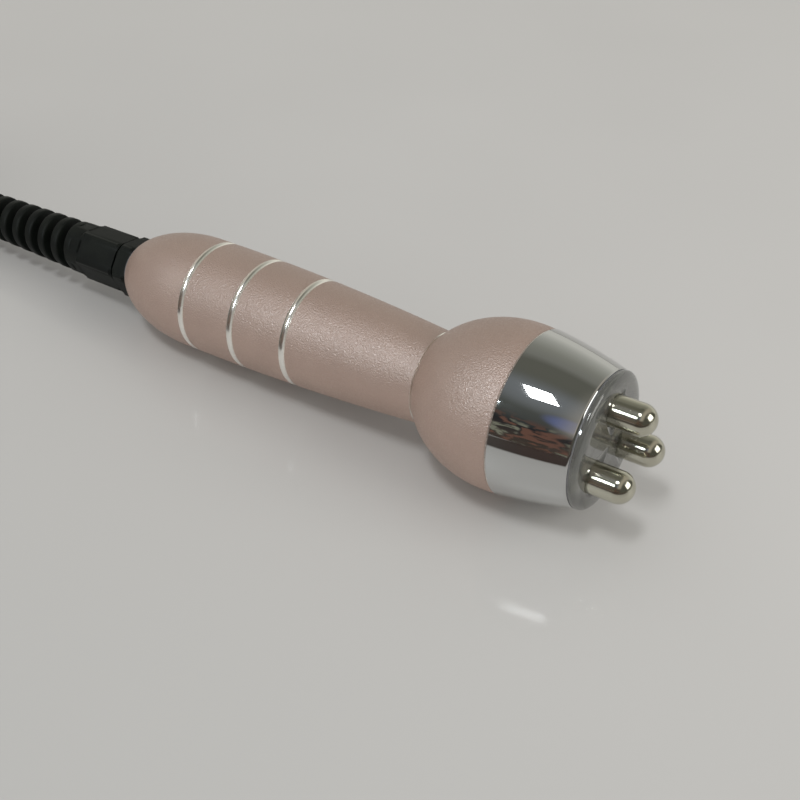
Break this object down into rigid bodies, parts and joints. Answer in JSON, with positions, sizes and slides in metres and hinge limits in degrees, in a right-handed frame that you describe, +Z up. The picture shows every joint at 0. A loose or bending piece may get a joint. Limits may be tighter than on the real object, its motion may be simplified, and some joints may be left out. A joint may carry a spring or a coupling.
{
  "type": "body slimming machine handpiece",
  "caption": "Hand-held radio-frequency handpiece of a body slimming machine: waisted metal handle, ball head with chrome collar, rounded electrodes, spiral bend protector and coiled cable.",
  "frame": {"origin": "on the table, under the middle of the handpiece's bounding box, its free cable left out", "axes": "+Z up from the table, +X along the handpiece towards the electrodes, +Y to the left of someone looking along +X"},
  "size_m": [0.3301, 0.0674, 0.0432],
  "materials": {
    "anodised_shell": "satin blasted anodised aluminium with bright-cut grooves",
    "bare_aluminium": "machined",
    "chrome_plate": "mirror plated",
    "insulator": "smoky translucent acrylic",
    "gasket_rubber": "matt",
    "electrode_metal": "polished",
    "zinc_steel": "zinc plated",
    "tinned_brass": "tinned",
    "gold_contact": "gold flashed",
    "wire_red": "insulation",
    "heat_shrink": "matt",
    "black_nylon": "moulded nylon",
    "cable_jacket": "soft satin",
    "tie_plastic": "smooth",
    "plug_metal": "satin plated"
  },
  "bodies": {
    "handpiece": {"handle_shell": "anodised_shell", "head_shell": "anodised_shell", "neck_nipple": "bare_aluminium", "disc_ring_nut": "bare_aluminium", "chrome_collar": "chrome_plate", "insulator_disc": "insulator", "disc_gasket": "gasket_rubber", "gland_gasket": "gasket_rubber", "gland_seal": "gasket_rubber", "electrode_1": "electrode_metal", "electrode_2": "electrode_metal", "electrode_3": "electrode_metal", "electrode_washers": "zinc_steel", "electrode_nuts": "zinc_steel", "plug_clamp_screws": "zinc_steel", "solder_tags": "tinned_brass", "cable_ferrule": "tinned_brass", "plug_pins": "gold_contact", "hookup_wires": "wire_red", "cable_cores": "wire_red", "plug_wires": "wire_red", "splice_sleeves": "heat_shrink", "gland_body": "black_nylon", "gland_lock_nut": "black_nylon", "bend_protector": "black_nylon", "plug_insert": "black_nylon", "inner_cable": "cable_jacket", "cable_lead": "cable_jacket", "cable_coil": "cable_jacket", "cable_tail": "cable_jacket", "plug_cable_end": "cable_jacket", "coil_tie": "tie_plastic", "plug_back_shell": "plug_metal", "plug_clamp_saddle": "plug_metal", "plug_barrel": "plug_metal"},
    "plug_nut": {"plug_coupling_nut": "plug_metal"}
  },
  "joints": [
    {"name": "plug_nut_spin", "type": "hinge", "parent": "handpiece", "child": "plug_nut", "pos_m": [-0.19193, 0.0057, 0.0297], "axis": [1, 0, 0], "continuous": true}
  ]
}
